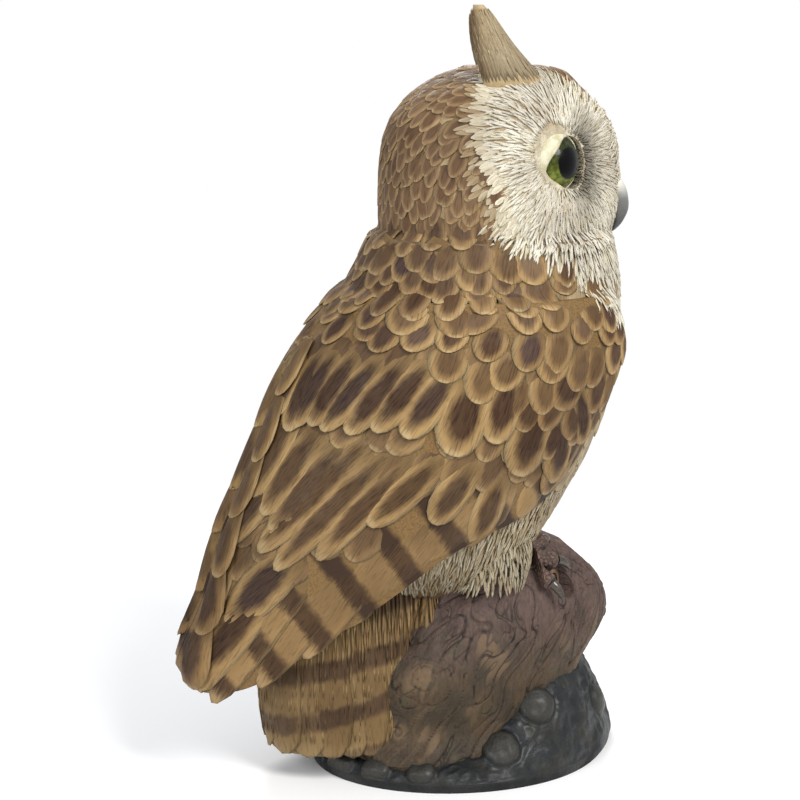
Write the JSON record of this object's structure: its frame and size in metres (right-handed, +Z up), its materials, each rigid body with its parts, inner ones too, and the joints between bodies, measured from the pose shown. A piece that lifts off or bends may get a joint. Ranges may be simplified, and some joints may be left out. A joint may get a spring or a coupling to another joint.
{
  "type": "owl figurine",
  "caption": "Hollow-cast painted owl figurine perched on a stump and rock base, with a sensor hole in the stump and a sound module, battery door and switch underneath.",
  "frame": {"origin": "on the ground plane inside the resting rim of the rock base", "axes": "+Z up, the owl's body faces -Y, the owl's left side is +X"},
  "size_m": [0.0982, 0.1509, 0.2435],
  "materials": {
    "painted_resin_plumage": "satin",
    "painted_resin_face": "satin",
    "painted_resin_wood": "satin",
    "painted_resin_rock": "gloss",
    "horn": "gloss",
    "eye_glass": "polished",
    "iris_paint": "gloss",
    "steel": "brushed",
    "black_plastic": "matte",
    "sensor_black": "gloss",
    "board_green": "satin",
    "cell_jacket": "gloss",
    "cone_film": "gloss",
    "copper": "satin",
    "wood_dowel": "matte"
  },
  "bodies": {
    "root": {"rock_base": "painted_resin_rock", "tree_stump": "painted_resin_wood", "torso_shell": "painted_resin_plumage", "head_shell": "painted_resin_face", "right_wing": "painted_resin_plumage", "left_wing": "painted_resin_plumage", "tail_fan": "painted_resin_plumage", "right_ear_tuft": "painted_resin_face", "left_ear_tuft": "painted_resin_face", "upper_beak": "horn", "lower_beak": "horn", "right_eye_glass": "eye_glass", "left_eye_glass": "eye_glass", "right_iris": "iris_paint", "left_iris": "iris_paint", "right_leg": "painted_resin_face", "left_leg": "painted_resin_face", "right_foot": "painted_resin_wood", "left_foot": "painted_resin_wood", "right_claws": "horn", "left_claws": "horn", "ear_tuft_dowels": "wood_dowel", "wing_dowels": "wood_dowel", "tail_dowel": "wood_dowel", "sensor_sleeve": "black_plastic", "sensor": "sensor_black", "base_plate": "black_plastic", "hinge_pin": "steel", "base_plate_screws": "steel", "upper_contacts": "steel", "battery_cell_1": "cell_jacket", "battery_cell_2": "cell_jacket", "battery_cell_3": "cell_jacket", "speaker_frame": "steel", "speaker_magnet": "steel", "switch_body": "black_plastic", "circuit_board": "board_green", "board_screws": "steel", "sound_chip": "black_plastic", "capacitor": "cell_jacket", "transistor": "black_plastic", "lead_sockets": "painted_resin_face"},
    "door": {"battery_door": "black_plastic", "door_springs": "steel"},
    "knob": {"switch_knob": "black_plastic"},
    "diaphragm": {"speaker_cone": "cone_film", "voice_coil": "copper"}
  },
  "joints": [
    {"name": "door_hinge", "type": "hinge", "parent": "root", "child": "door", "pos_m": [0.006, 0.0265, 0.00175], "axis": [1, 0, 0], "range_deg": [0, 95]},
    {"name": "switch_slide", "type": "slide", "parent": "root", "child": "knob", "axis": [1, 0, 0], "range_m": [0, 0.0025]},
    {"name": "diaphragm_slide", "type": "slide", "parent": "root", "child": "diaphragm", "axis": [0, 0, 1], "range_m": [-0.0003, 0.0003], "stiffness_N_per_m": 400}
  ]
}
